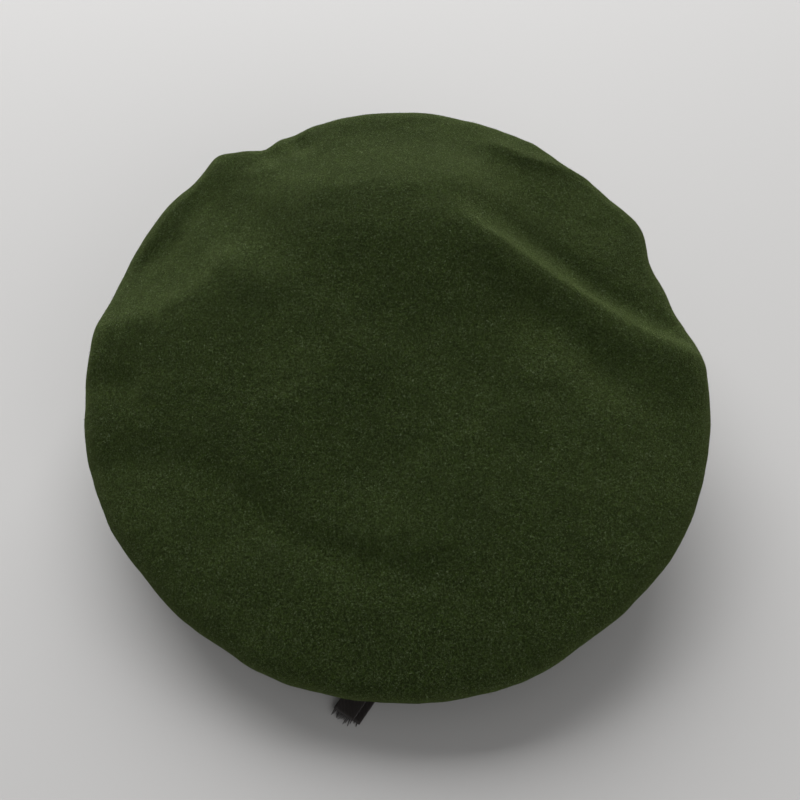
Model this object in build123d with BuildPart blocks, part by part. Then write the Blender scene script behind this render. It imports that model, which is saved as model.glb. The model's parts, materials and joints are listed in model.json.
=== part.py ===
"""A soft military-style wool beret, resting on its leather binding with the crown drooping towards -Y.

Frame: millimetres, +Z up. The origin is the centre of the head opening, on the plane that the binding
rests on. +Y is the wearer's front, so the drawstring leaves the binding at the back, towards -Y.

The felt and the lining share one outline. Its underside is lofted from the binding to the rim, while
the rim and the top are revolved about the crown's own axis, which leans towards -Y. Each layer takes
that outline at its own depth below the outer face of the felt.
"""

import os
from math import asin, atan2, cos, hypot, radians, sin, sqrt, tan

from build123d import *

# Head opening and binding
head_radius = 90.0
binding_height = 20.0
leather_thickness = 1.2
binding_edge_radius = 1.0
press_line_height = 14.5
press_in = 1.1
layer_gap = 0.35

# Felt, lining and ribbon
felt_thickness = 2.4
lining_thickness = 0.4
lining_low = 10.0
ribbon_width = 10.0
ribbon_thickness = 0.8

# Crown
crown_radius = 142.5
rim_centre_y = -14.0
rim_centre_z = 48.0
crown_lean = 13.0
rim_round = 10.0
rim_start_angle = 35.0
top_round = 700.0
underside_radius = 113.0
underside_centre_y = -4.0
underside_centre_z = 31.0
underside_lean = 6.0
underside_slope = 26.0

# Where the layers stand in the binding, from the head outwards
inner_leaf_outer = head_radius + leather_thickness
lining_inner = inner_leaf_outer + layer_gap
felt_inner = lining_inner + lining_thickness + layer_gap
felt_outer = felt_inner + felt_thickness
ribbon_inner = felt_outer + layer_gap
ribbon_outer = ribbon_inner + ribbon_thickness
outer_leaf_inner = ribbon_outer + layer_gap
outer_leaf_outer = outer_leaf_inner + leather_thickness
felt_low = leather_thickness + layer_gap

# Depths below the felt's outer face
lining_depth = felt_thickness + layer_gap
pocket_depth = lining_depth + lining_thickness + layer_gap
stiffener_thickness = 1.0
cover_thickness = 0.5
cover_depth = pocket_depth + stiffener_thickness + layer_gap
label_thickness = 0.5

# Drawstring: the window in the outer leaf, the knot in it and the two tails
ribbon_low = 3.5
window_angle = -80.5
window_width = 15.0
window_low = 2.5
window_high = 14.0
window_corner = 2.0
knot_width = 11.0
knot_depth = 5.0
knot_height = 9.0
knot_round = 2.5
knot_stand = 3.3
knot_reach = ribbon_outer + knot_stand
tail_heading = -124.0
upper_tail_side = -1.5
lower_tail_side = 1.5
bend_share = 0.45

# Ventilation eyelets
eyelet_angles = {"front": 8.0, "rear": -8.0}
eyelet_share = 0.45
eyelet_hole_radius = 2.2
eyelet_barrel_radius = 2.7
eyelet_flange_radius = 4.6
eyelet_flange_thickness = 0.6
eyelet_gap = 0.6

# Badge stiffener, its cover and the label, placed in the plane of the rim
stiffener_place = (-64.0, 66.0)
stiffener_size = (56.0, 30.0)
cover_size = (66.0, 38.0)
stiffener_turn = 44.0
corner_radius = 8.0
label_size = (42.0, 26.0)
label_corner_radius = 1.5

# Binding thread
thread_radius = 0.35
thread_height = 17.5
thread_stand = 0.75
thread_share = (thread_height - press_line_height) / (binding_height - press_line_height)

rim_plane = Plane(
    origin=(0, rim_centre_y, rim_centre_z),
    x_dir=(1, 0, 0),
    z_dir=(0, -sin(radians(crown_lean)), cos(radians(crown_lean))),
)
crown_axis = Axis(rim_plane.origin, rim_plane.z_dir)
outline_plane = Plane(origin=rim_plane.origin, x_dir=(1, 0, 0), z_dir=rim_plane.y_dir * -1)
rim_round_centre = crown_radius - rim_round
top_angle = asin(rim_round_centre / (top_round - rim_round))
top_centre = -sqrt((top_round - rim_round) ** 2 - rim_round_centre**2)


def underside_circles(depth):
    """The circles from the binding's top to the start of the rim, moved inwards by depth."""
    lean = radians(underside_lean)
    inwards = depth * sin(radians(underside_slope))
    upwards = depth * cos(radians(underside_slope))
    middle = Plane(
        origin=(
            0,
            underside_centre_y - inwards - upwards * sin(lean),
            underside_centre_z + upwards * cos(lean),
        ),
        x_dir=(1, 0, 0),
        z_dir=(0, -sin(lean), cos(lean)),
    )
    rim_start_radius, rim_start_height = rim_points(depth)[0]
    circles = []
    for plane, radius in (
        (Plane.XY.offset(binding_height + depth), felt_outer - depth),
        (middle, underside_radius - inwards),
        (rim_plane.offset(rim_start_height), rim_start_radius),
    ):
        with BuildSketch(plane) as circle:
            Circle(radius)
        circles.append(circle.sketch)
    return circles


def rim_points(depth):
    """Points on the outline's rim arc, moved inwards by depth: its start, its side and its end."""
    around = rim_round - depth
    start_angle = radians(rim_start_angle)
    start = (rim_round_centre + around * sin(start_angle), -around * cos(start_angle))
    side = (rim_round_centre + around, 0)
    end = ((top_round - depth) * sin(top_angle), top_centre + (top_round - depth) * cos(top_angle))
    return [start, side, end]


def top_points(depth):
    """Points on the outline's top arc, moved inwards by depth: its edge, its middle and its apex."""
    reach = top_round - depth
    angles = (top_angle, top_angle / 2, 0)
    return [(reach * sin(angle), top_centre + reach * cos(angle)) for angle in angles]


def outline_points(depth):
    """Points on the whole outline, from the start of the rim to the apex."""
    return rim_points(depth) + top_points(depth)[1:]


def layer_section(points, depth, thickness):
    """A strip of the outline between two depths, as a sketch beside the crown's axis."""
    outer, inner = points(depth), points(depth + thickness)
    with BuildSketch(outline_plane) as section:
        with BuildLine():
            for side in (outer, inner):
                for index in range(0, len(side) - 2, 2):
                    ThreePointArc(*side[index : index + 3])
            Line(outer[-1], inner[-1])
            Line(outer[0], inner[0])
        make_face()
    return section.sketch


def underside_seat(angle, share):
    """A plane on the felt's underside, facing outwards, a share of the way from its middle to the rim."""
    wall = [face for face in layer_walls(0, felt_low) if face.geom_type == GeomType.BSPLINE][-1]
    place = wall.position_at((angle % 360) / 360, share)
    normal = wall.normal_at(place)
    return Plane(origin=place, z_dir=normal if normal.Z < 0 else normal * -1)


def ring_sketch(inner, outer, height):
    """A ring about Z at a height."""
    with BuildSketch(Plane.XY.offset(height)) as ring:
        Circle(outer)
        Circle(inner, mode=Mode.SUBTRACT)
    return ring.sketch


def facing(angle, height=0.0, reach=0.0):
    """A plane that faces outwards at an angle about Z, with its x along the tangent and its y up."""
    out = Vector(cos(radians(angle)), sin(radians(angle)), 0)
    return Plane(origin=out * reach + Vector(0, 0, height), x_dir=Vector(-out.Y, out.X, 0), z_dir=out)


def curved_faces(part):
    """The faces of a part that aren't flat."""
    return [face for face in part.faces() if face.geom_type != GeomType.PLANE]


def layer_walls(depth, low):
    """The curved faces of the outline at one depth, from low in the binding to the start of the rim."""
    circles = underside_circles(depth)
    with BuildPart() as upright:
        with BuildSketch(Plane.XY.offset(low)):
            Circle(felt_outer - depth)
        extrude(amount=binding_height + depth - low)
    with BuildPart() as underside:
        loft(sections=circles)
    return curved_faces(upright.part) + curved_faces(underside.part)


def layer_solid(above, depth, thickness, low):
    """A closed shell from low in the binding, up the underside, and on into the revolved part above it."""
    hem = ring_sketch(felt_outer - depth - thickness, felt_outer - depth, low).faces()
    walls = layer_walls(depth, low) + layer_walls(depth + thickness, low)
    return Solid(Shell([*hem, *walls, *above.faces().sort_by(crown_axis)[1:]]))


# Crown shell: felt wall in the binding, then the underside, the rim and the top
with BuildPart() as felt_rim_and_top:
    revolve(layer_section(outline_points, 0, felt_thickness), axis=crown_axis)
with BuildPart() as crown_shell:
    add(layer_solid(felt_rim_and_top.part, 0, felt_thickness, felt_low))

# Lining: a side panel that tucks into the binding, and a round crown panel
with BuildPart() as lining_rim:
    revolve(layer_section(rim_points, lining_depth, lining_thickness), axis=crown_axis)
with BuildPart() as lining_side_panel:
    add(layer_solid(lining_rim.part, lining_depth, lining_thickness, lining_low))
with BuildPart() as lining_crown_panel:
    revolve(layer_section(top_points, lining_depth, lining_thickness), axis=crown_axis)

# Badge stiffener in its stitched cover, inside the left front of the crown
stiffener_seat = rim_plane.location * Location((*stiffener_place, 0), (0, 0, stiffener_turn))
with BuildPart() as badge_stiffener:
    revolve(layer_section(top_points, pocket_depth, stiffener_thickness), axis=crown_axis)
    with BuildSketch(Plane(stiffener_seat)):
        RectangleRounded(*stiffener_size, corner_radius)
    extrude(amount=crown_radius, mode=Mode.INTERSECT)
with BuildPart() as stiffener_cover:
    revolve(layer_section(top_points, cover_depth, cover_thickness), axis=crown_axis)
    with BuildSketch(Plane(stiffener_seat)):
        RectangleRounded(*cover_size, corner_radius)
    extrude(amount=crown_radius, mode=Mode.INTERSECT)

# Blank woven label at the middle of the lining
with BuildPart() as woven_label:
    revolve(layer_section(top_points, pocket_depth, label_thickness), axis=crown_axis)
    with BuildSketch(rim_plane):
        RectangleRounded(*label_size, label_corner_radius)
    extrude(amount=crown_radius, mode=Mode.INTERSECT)

# Ventilation eyelets: rolled barrels through felt and lining, each closed on a washer inside
eyelets = {}
for place, angle in eyelet_angles.items():
    seat = underside_seat(angle, eyelet_share)
    with BuildSketch(seat.offset(eyelet_flange_radius)) as barrel_hole:
        Circle(eyelet_barrel_radius + eyelet_gap)
    for holed in (crown_shell, lining_side_panel):
        with holed:
            extrude(barrel_hole.sketch, amount=-3 * eyelet_flange_radius, mode=Mode.SUBTRACT)
    washer_depth = lining_depth + lining_thickness + eyelet_gap
    with BuildPart() as eyelet:
        with BuildSketch(seat.offset(eyelet_gap)):
            Circle(eyelet_flange_radius)
        extrude(amount=eyelet_flange_thickness)
        with BuildSketch(seat.offset(eyelet_gap)):
            Circle(eyelet_barrel_radius)
        extrude(amount=-(washer_depth + eyelet_flange_thickness + eyelet_gap))
        with BuildSketch(seat.offset(eyelet_flange_radius)):
            Circle(eyelet_hole_radius)
        extrude(amount=-3 * eyelet_flange_radius, mode=Mode.SUBTRACT)
    with BuildPart() as washer:
        with BuildSketch(seat.offset(-washer_depth)):
            Circle(eyelet_flange_radius)
            Circle(eyelet_barrel_radius + eyelet_gap, mode=Mode.SUBTRACT)
        extrude(amount=-eyelet_flange_thickness)
    eyelets[f"eyelet_{place}"] = eyelet
    eyelets[f"eyelet_washer_{place}"] = washer

# Leather binding: one strip folded under the felt's edge, with a window for the drawstring
with BuildPart() as leather_binding:
    with BuildSketch(Plane.XZ):
        with BuildLine():
            Polyline(
                (head_radius, 0),
                (outer_leaf_outer, 0),
                (outer_leaf_outer, press_line_height),
                (outer_leaf_outer - press_in, binding_height),
                (outer_leaf_inner - press_in, binding_height),
                (outer_leaf_inner, press_line_height),
                (outer_leaf_inner, leather_thickness),
                (inner_leaf_outer, leather_thickness),
                (inner_leaf_outer, binding_height),
                (head_radius, binding_height),
                close=True,
            )
        make_face()
    revolve(axis=Axis.Z)
    fold_edges = leather_binding.edges().group_by(Axis.Z)[0]
    fillet(fold_edges.sort_by(SortBy.RADIUS)[-1], binding_edge_radius)
    with BuildSketch(facing(window_angle, (window_low + window_high) / 2, felt_outer)):
        RectangleRounded(window_width, window_high - window_low, window_corner)
    extrude(amount=2 * (outer_leaf_outer - felt_outer), mode=Mode.SUBTRACT)

# Drawstring ribbon: nearly a full ring in the channel, open at the window
with BuildPart() as drawstring_ribbon:
    extrude(ring_sketch(ribbon_inner, ribbon_outer, ribbon_low), amount=ribbon_width)
    with BuildSketch(facing(window_angle, binding_height / 2, felt_inner)):
        Rectangle(window_width, binding_height)
    extrude(amount=outer_leaf_outer - felt_inner, mode=Mode.SUBTRACT)

# Binding thread: the row of stitches that presses the outer leaf onto the felt
with BuildPart() as binding_thread:
    with BuildSketch(Plane.XZ):
        with Locations((outer_leaf_outer - press_in * thread_share + thread_stand, thread_height)):
            Circle(thread_radius)
    revolve(axis=Axis.Z)

# Knot: the ribbon's two ends tied once in the window
knot_plane = Plane(
    origin=facing(window_angle, ribbon_low + ribbon_width / 2, knot_reach).origin,
    x_dir=facing(tail_heading).x_dir,
    z_dir=facing(tail_heading).z_dir,
)
with BuildPart() as ribbon_knot:
    with BuildSketch(knot_plane):
        RectangleRounded(knot_width, knot_height, knot_round)
    extrude(amount=knot_depth)

# Tails: each ribbon end falls from the knot to the table and runs out under the rim.
# A route is (distance from the knot's face, height) along the tail's heading.
upper_route = [(0.0, 9.2), (13.0, 9.2), (33.0, 2.4), (61.5, 1.8)]
lower_route = [(0.0, 7.0), (12.0, 7.0), (31.0, 0.9), (61.0, 0.5)]


def bend_radii(route):
    """The radius of each bend: a share of the shorter run over the tangent of half the turn."""
    radii = []
    for before, here, after in zip(route, route[1:], route[2:]):
        run_in = (here[0] - before[0], here[1] - before[1])
        run_out = (after[0] - here[0], after[1] - here[1])
        turn = abs(atan2(run_in[1], run_in[0]) - atan2(run_out[1], run_out[0]))
        radii.append(bend_share * min(hypot(*run_in), hypot(*run_out)) / tan(turn / 2))
    return radii


def tail_plane(side):
    """The upright plane that a tail's route lies in, with its x along the heading and its y up."""
    start = knot_plane.origin + knot_plane.z_dir * knot_depth + knot_plane.x_dir * side
    return Plane(
        origin=(start.X, start.Y, 0), x_dir=knot_plane.z_dir, z_dir=knot_plane.z_dir.cross(Vector(0, 0, 1))
    )


with BuildPart() as ribbon_tail_upper:
    with BuildSketch(tail_plane(upper_tail_side)):
        with BuildLine() as upper_line:
            FilletPolyline(*upper_route, radius=bend_radii(upper_route))
        trace(line_width=ribbon_thickness)
    extrude(amount=ribbon_width / 2, both=True)
with BuildPart() as ribbon_tail_lower:
    with BuildSketch(tail_plane(lower_tail_side)):
        with BuildLine() as lower_line:
            FilletPolyline(*lower_route, radius=bend_radii(lower_route))
        trace(line_width=ribbon_thickness)
    extrude(amount=ribbon_width / 2, both=True)

pieces = {
    "crown_shell": crown_shell,
    "lining_side_panel": lining_side_panel,
    "lining_crown_panel": lining_crown_panel,
    "badge_stiffener": badge_stiffener,
    "stiffener_cover": stiffener_cover,
    "woven_label": woven_label,
    "leather_binding": leather_binding,
    "drawstring_ribbon": drawstring_ribbon,
    "binding_thread": binding_thread,
    "ribbon_knot": ribbon_knot,
    "ribbon_tail_upper": ribbon_tail_upper,
    "ribbon_tail_lower": ribbon_tail_lower,
    **eyelets,
}
os.makedirs("parts", exist_ok=True)
for name, piece in pieces.items():
    piece.part.label = name
    export_step(piece.part, f"parts/{name}.step")
    print(f"{name}: {len(piece.solids())} solid, {piece.part.volume:.0f} mm3")

for name, tail, line, route in (
    ("upper", ribbon_tail_upper, upper_line, upper_route),
    ("lower", ribbon_tail_lower, lower_line, lower_route),
):
    length = sum(edge.length for edge in line.edges())
    section = ribbon_width * ribbon_thickness
    print(
        f"{name} tail: {length:.1f} mm long, volume {tail.part.volume:.0f} of {section * length:.0f} mm3,"
        f" radii {[round(radius) for radius in bend_radii(route)]} mm"
    )
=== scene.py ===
import json
from math import asin, cos, pi, radians, sin, sqrt

import bpy
import numpy as np
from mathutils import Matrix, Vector, noise
from mathutils.bvhtree import BVHTree

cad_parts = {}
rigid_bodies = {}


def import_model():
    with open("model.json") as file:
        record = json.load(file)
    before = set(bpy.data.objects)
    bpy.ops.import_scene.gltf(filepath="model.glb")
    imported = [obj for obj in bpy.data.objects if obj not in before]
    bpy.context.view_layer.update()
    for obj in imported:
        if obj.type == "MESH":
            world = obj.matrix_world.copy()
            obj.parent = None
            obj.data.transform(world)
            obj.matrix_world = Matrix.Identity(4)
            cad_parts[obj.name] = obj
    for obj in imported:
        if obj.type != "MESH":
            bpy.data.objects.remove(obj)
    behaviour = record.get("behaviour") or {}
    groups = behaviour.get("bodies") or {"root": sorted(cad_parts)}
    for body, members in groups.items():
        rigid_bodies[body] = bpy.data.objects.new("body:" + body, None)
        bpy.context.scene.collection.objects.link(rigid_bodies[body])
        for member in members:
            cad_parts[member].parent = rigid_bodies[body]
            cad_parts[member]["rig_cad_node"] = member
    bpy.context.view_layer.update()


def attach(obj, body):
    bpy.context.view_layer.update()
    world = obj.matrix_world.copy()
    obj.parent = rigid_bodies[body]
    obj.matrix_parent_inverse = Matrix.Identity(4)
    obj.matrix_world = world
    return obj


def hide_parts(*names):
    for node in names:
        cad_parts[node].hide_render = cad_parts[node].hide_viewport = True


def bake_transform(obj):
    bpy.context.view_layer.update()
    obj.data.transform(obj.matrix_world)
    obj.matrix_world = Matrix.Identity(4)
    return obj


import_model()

MM = 0.001
rng = np.random.default_rng(7)

# ---------------------------------------------------------------- the part's own sizes, in millimetres
BINDING_HEIGHT = 20.0
FELT_OUTER = 94.7  # the radius of the felt's wall, inside the binding
FELT_LOW = 1.6  # the height of the felt's edge
FELT_THICKNESS = 2.4
CROWN_RADIUS = 142.5
RIM_CENTRE = (-14.0, 48.0)  # y and z of the middle of the rim's plane
LEAN = radians(13)
RIM_ROUND = 10.0
RIM_ROUND_CENTRE = CROWN_RADIUS - RIM_ROUND
TOP_ROUND = 700.0
TOP_CENTRE = -sqrt((TOP_ROUND - RIM_ROUND) ** 2 - RIM_ROUND_CENTRE**2)
TOP_ANGLE = asin(RIM_ROUND_CENTRE / (TOP_ROUND - RIM_ROUND))
UNDERSIDE = (113.0, -4.0, 31.0, radians(6))  # a circle half way under the crown: radius, y, z, lean
LINING_THICKNESS = 0.4
LEAF_OUTER = 97.4  # the radius of the binding's outer leaf, where the ribbon's window is
WINDOW_ANGLE = radians(-80.5)
WINDOW_HALF = 7.5
WINDOW_HEIGHTS = (2.0, 14.0)
RIBBON_WIDTH = 10.0
RIBBON_THICKNESS = 0.8
RIBBON_RADIUS = 95.45
RIBBON_HEIGHT = 8.5
RIBBON_GAP = 7.6 / 95.4  # half the gap in the ribbon's ring, as an angle
KNOT_REACH = 99.15
KNOT_DEPTH = 5.0
TAIL_HEADING = radians(-124)

# ---------------------------------------------------------------- camera
CAMERA_AIM = Vector((0.0022, -0.0226, 0.0491))
CAMERA_ELEVATION = radians(56.5)
CAMERA_DISTANCE = 0.52
CAMERA_LENS = 51.5

scene = bpy.context.scene
camera_data = bpy.data.cameras.new("camera")
camera = bpy.data.objects.new("camera", camera_data)
scene.collection.objects.link(camera)
camera.location = CAMERA_AIM + Vector((0, -cos(CAMERA_ELEVATION), sin(CAMERA_ELEVATION))) * CAMERA_DISTANCE
camera.rotation_euler = (pi / 2 - CAMERA_ELEVATION, 0, 0)
camera_data.lens = CAMERA_LENS
scene.camera = camera
scene.view_settings.view_transform = "Standard"


# ---------------------------------------------------------------- helpers
def new_object(name, vertices, faces, smooth=True):
    """A mesh object in the scene; its vertices are in metres."""
    mesh = bpy.data.meshes.new(name)
    mesh.from_pydata([tuple(v) for v in vertices], [], [tuple(f) for f in faces])
    mesh.validate()
    if smooth:
        mesh.shade_smooth()
    made = bpy.data.objects.new(name, mesh)
    scene.collection.objects.link(made)
    return made


def grid_faces(rows, columns, closed, start=0):
    """Quads over a grid of vertices, whose rows may close round; start is its first vertex's number."""
    faces = []
    for i in range(rows - 1):
        for j in range(columns if closed else columns - 1):
            k = (j + 1) % columns
            faces.append((start + i * columns + j, start + i * columns + k,
                          start + (i + 1) * columns + k, start + (i + 1) * columns + j))
    return faces


def smoothstep(value, low, high):
    """0 up to low, 1 from high on, with a soft rise between them."""
    t = np.clip((value - low) / (high - low), 0, 1)
    return t * t * (3 - 2 * t)


# ---------------------------------------------------------------- materials
def new_material(name):
    """A material with its nodes, its links and its shader node."""
    material = bpy.data.materials.new(name)
    material.use_nodes = True
    nodes = material.node_tree.nodes
    links = material.node_tree.links
    shader = nodes["Principled BSDF"]
    return material, nodes, links, shader


def texture_space(nodes, links, stretch=(1, 1, 1)):
    """Object coordinates in metres, times stretch along each axis."""
    where = nodes.new("ShaderNodeTexCoord")
    mapping = nodes.new("ShaderNodeMapping")
    mapping.inputs["Scale"].default_value = stretch
    links.new(where.outputs["Object"], mapping.inputs["Vector"])
    return mapping.outputs["Vector"]


def noise_node(nodes, links, space, scale, detail=4, roughness=0.6, distortion=0):
    texture = nodes.new("ShaderNodeTexNoise")
    texture.inputs["Scale"].default_value = scale
    texture.inputs["Detail"].default_value = detail
    texture.inputs["Roughness"].default_value = roughness
    texture.inputs["Distortion"].default_value = distortion
    links.new(space, texture.inputs["Vector"])
    return texture.outputs["Fac"]


def ramp_node(nodes, links, source, stops):
    """Colours for a value: stops are (value, colour)."""
    ramp = nodes.new("ShaderNodeValToRGB")
    elements = ramp.color_ramp.elements
    while len(elements) < len(stops):
        elements.new(0.5)
    for element, (place, colour) in zip(elements, stops):
        element.position = place
        element.color = (*colour, 1)
    links.new(source, ramp.inputs["Fac"])
    return ramp.outputs["Color"]


def mix_colours(nodes, links, share, first, second, kind="MIX"):
    """Two colours mixed; each argument is a number, a colour or a socket."""
    mix = nodes.new("ShaderNodeMix")
    mix.data_type = "RGBA"
    mix.blend_type = kind
    share_input, first_input, second_input, colour_output = 0, 6, 7, 2
    for index, value in ((share_input, share), (first_input, first), (second_input, second)):
        socket = mix.inputs[index]
        if isinstance(value, (int, float)):
            socket.default_value = value
        elif isinstance(value, tuple):
            socket.default_value = (*value, 1)
        else:
            links.new(value, socket)
    return mix.outputs[colour_output]


def add_bump(nodes, links, shader, layers):
    """layers: (height socket, distance in metres), each bump feeding the next."""
    last = None
    for height, distance in layers:
        bump = nodes.new("ShaderNodeBump")
        bump.inputs["Strength"].default_value = 1.0
        bump.inputs["Distance"].default_value = distance
        links.new(height, bump.inputs["Height"])
        if last is not None:
            links.new(last, bump.inputs["Normal"])
        last = bump.outputs["Normal"]
    links.new(last, shader.inputs["Normal"])


def felt_material(name):
    """Fulled wool: dark and pale fibres matted together, with a soft sheen."""
    material, nodes, links, shader = new_material(name)
    space = texture_space(nodes, links)
    cloud = noise_node(nodes, links, space, 38, 5, 0.62)
    grain = noise_node(nodes, links, space, 1250, 2, 0.6, 0.8)
    curls = noise_node(nodes, links, space, 900, 1, 0.5, 1.6)
    fibre = noise_node(nodes, links, texture_space(nodes, links, (1, 3.2, 1.4)), 1150, 3, 0.6, 1.4)
    cross = noise_node(nodes, links, texture_space(nodes, links, (3.4, 1, 1.2)), 900, 3, 0.6, 1.2)
    base = ramp_node(nodes, links, cloud, [
        (0.32, (0.028, 0.055, 0.0070)), (0.52, (0.036, 0.068, 0.0090)), (0.72, (0.046, 0.080, 0.0135))])
    light = ramp_node(nodes, links, grain, [
        (0.41, (0.08, 0.10, 0.03)), (0.50, (0.36, 0.38, 0.30)), (0.59, (1.0, 1.0, 1.0))])
    strand = ramp_node(nodes, links, curls, [
        (0.470, (0, 0, 0)), (0.492, (1, 1, 1)), (0.508, (1, 1, 1)), (0.530, (0, 0, 0))])
    pale_fibre = (0.228, 0.288, 0.165)
    fibred = mix_colours(nodes, links, strand, base, pale_fibre)
    colour = mix_colours(nodes, links, 1.0, fibred, light, "MULTIPLY")
    links.new(colour, shader.inputs["Base Color"])
    shader.inputs["Roughness"].default_value = 0.95
    shader.inputs["Specular IOR Level"].default_value = 0.06
    shader.inputs["Sheen Weight"].default_value = 0.37
    shader.inputs["Sheen Roughness"].default_value = 0.5
    shader.inputs["Sheen Tint"].default_value = (0.52, 0.66, 0.22, 1)
    add_bump(nodes, links, shader, [
        (cloud, 0.0010), (grain, 0.0022), (strand, 0.0003), (fibre, 0.0009), (cross, 0.0009)])
    return material


def fibre_material():
    """The loose fibres that stand out of the felt."""
    material, nodes, links, shader = new_material("felt_fibre")
    space = texture_space(nodes, links)
    tone = noise_node(nodes, links, space, 700, 2, 0.7)
    colour = ramp_node(nodes, links, tone, [
        (0.35, (0.03, 0.050, 0.016)), (0.55, (0.085, 0.115, 0.050)), (0.72, (0.26, 0.30, 0.18))])
    links.new(colour, shader.inputs["Base Color"])
    shader.inputs["Roughness"].default_value = 0.85
    shader.inputs["Specular IOR Level"].default_value = 0.2
    return material


def leather_material():
    """Thin black leather with a fine grain, a little worn."""
    material, nodes, links, shader = new_material("leather")
    space = texture_space(nodes, links)
    cells = nodes.new("ShaderNodeTexVoronoi")
    cells.inputs["Scale"].default_value = 850
    links.new(space, cells.inputs["Vector"])
    pores = noise_node(nodes, links, space, 1500, 3, 0.6)
    wear = noise_node(nodes, links, space, 60, 5, 0.65)
    colour = ramp_node(nodes, links, wear, [
        (0.3, (0.010, 0.008, 0.007)), (0.6, (0.019, 0.016, 0.014)), (0.8, (0.036, 0.030, 0.026))])
    links.new(colour, shader.inputs["Base Color"])
    rough = nodes.new("ShaderNodeMapRange")
    rough.inputs["To Min"].default_value = 0.36
    rough.inputs["To Max"].default_value = 0.62
    links.new(wear, rough.inputs["Value"])
    links.new(rough.outputs["Result"], shader.inputs["Roughness"])
    shader.inputs["Specular IOR Level"].default_value = 0.5
    add_bump(nodes, links, shader, [(cells.outputs["Distance"], 0.00025), (pores, 0.00012), (wear, 0.0003)])
    return material


def weave_material(name, low, high, ribs, rough, sheen, depth):
    """Cloth with fine ribs: low and high are its colours, ribs how fine they are, depth their height in m."""
    material, nodes, links, shader = new_material(name)
    space = texture_space(nodes, links)
    wave = nodes.new("ShaderNodeTexWave")
    wave.wave_type = "BANDS"
    wave.bands_direction = "X"
    wave.inputs["Scale"].default_value = ribs
    wave.inputs["Distortion"].default_value = 0.6
    wave.inputs["Detail"].default_value = 2
    links.new(space, wave.inputs["Vector"])
    fuzz = noise_node(nodes, links, space, 1400, 4, 0.7)
    cloud = noise_node(nodes, links, space, 70, 4, 0.6)
    colour = ramp_node(nodes, links, cloud, [(0.3, low), (0.75, high)])
    # painted shade: the grooves between the ribs, where the wave's height is low, are painted darker than the
    # cloth
    groove_shaded_colour = mix_colours(nodes, links, wave.outputs["Fac"], tuple(c * 0.6 for c in low), colour)
    links.new(groove_shaded_colour, shader.inputs["Base Color"])
    shader.inputs["Roughness"].default_value = rough
    shader.inputs["Sheen Weight"].default_value = sheen
    shader.inputs["Sheen Roughness"].default_value = 0.4
    add_bump(nodes, links, shader, [(wave.outputs["Fac"], depth), (fuzz, depth * 0.6)])
    return material


def metal_material():
    """Dark enamel that is worn through to the metal in places."""
    material, nodes, links, shader = new_material("eyelet_enamel")
    space = texture_space(nodes, links)
    worn = noise_node(nodes, links, space, 420, 5, 0.7)
    colour = ramp_node(nodes, links, worn, [
        (0.35, (0.012, 0.015, 0.009)), (0.62, (0.02, 0.024, 0.014)), (0.74, (0.22, 0.21, 0.17))])
    links.new(colour, shader.inputs["Base Color"])
    shader.inputs["Metallic"].default_value = 0.55
    shader.inputs["Roughness"].default_value = 0.38
    add_bump(nodes, links, shader, [(worn, 0.00008)])
    return material


def board_material():
    """Rough pressed board."""
    material, nodes, links, shader = new_material("pressed_board")
    space = texture_space(nodes, links)
    speck = noise_node(nodes, links, space, 900, 4, 0.75)
    colour = ramp_node(nodes, links, speck, [(0.3, (0.20, 0.16, 0.11)), (0.7, (0.36, 0.30, 0.21))])
    links.new(colour, shader.inputs["Base Color"])
    shader.inputs["Roughness"].default_value = 0.9
    add_bump(nodes, links, shader, [(speck, 0.0002)])
    return material


FELT = felt_material("wool_felt")
FIBRE = fibre_material()
LEATHER = leather_material()
LINING = weave_material(
    "satin_lining", (0.010, 0.010, 0.011), (0.022, 0.022, 0.024), 900, rough=0.34, sheen=0.1, depth=0.00005)
RIBBON = weave_material(
    "grosgrain", (0.012, 0.008, 0.007), (0.030, 0.021, 0.018), 520, rough=0.62, sheen=0.25, depth=0.0002)
THREAD = weave_material(
    "sewing_thread", (0.012, 0.012, 0.012), (0.035, 0.034, 0.032), 1600, rough=0.5, sheen=0.2, depth=0.00006)
LABEL = weave_material(
    "woven_label", (0.30, 0.28, 0.22), (0.42, 0.40, 0.33), 1100, rough=0.7, sheen=0.1, depth=0.00006)
ENAMEL = metal_material()
BOARD = board_material()


def dress(piece, material, body, slot_name, *replaced):
    """Give a piece its material and body, and hide the CAD nodes that it replaces; slot_name is not used."""
    piece.data.materials.clear()
    piece.data.materials.append(material)
    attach(piece, body)
    if replaced:
        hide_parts(*replaced)


# ---------------------------------------------------------------- drawstring tails
# Each route: (distance from the knot's face along the heading, height), in mm
UPPER_ROUTE = [(0.0, 9.2), (13.0, 9.2), (33.0, 2.4), (61.5, 1.8)]
LOWER_ROUTE = [(0.0, 7.0), (12.0, 7.0), (31.0, 0.9), (61.0, 0.5)]
HEADING = Vector((cos(TAIL_HEADING), sin(TAIL_HEADING), 0))
ACROSS = Vector((-HEADING.y, HEADING.x, 0))
KNOT_START = Vector((cos(WINDOW_ANGLE), sin(WINDOW_ANGLE), 0)) * KNOT_REACH
KNOT_FACE = KNOT_START + HEADING * KNOT_DEPTH
TAIL_OFFSET = 1.5  # how far each tail is to its side of the heading, in mm
THREAD_LOW = 0.25  # the lowest that a loose thread's centre lies, in mm


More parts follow.
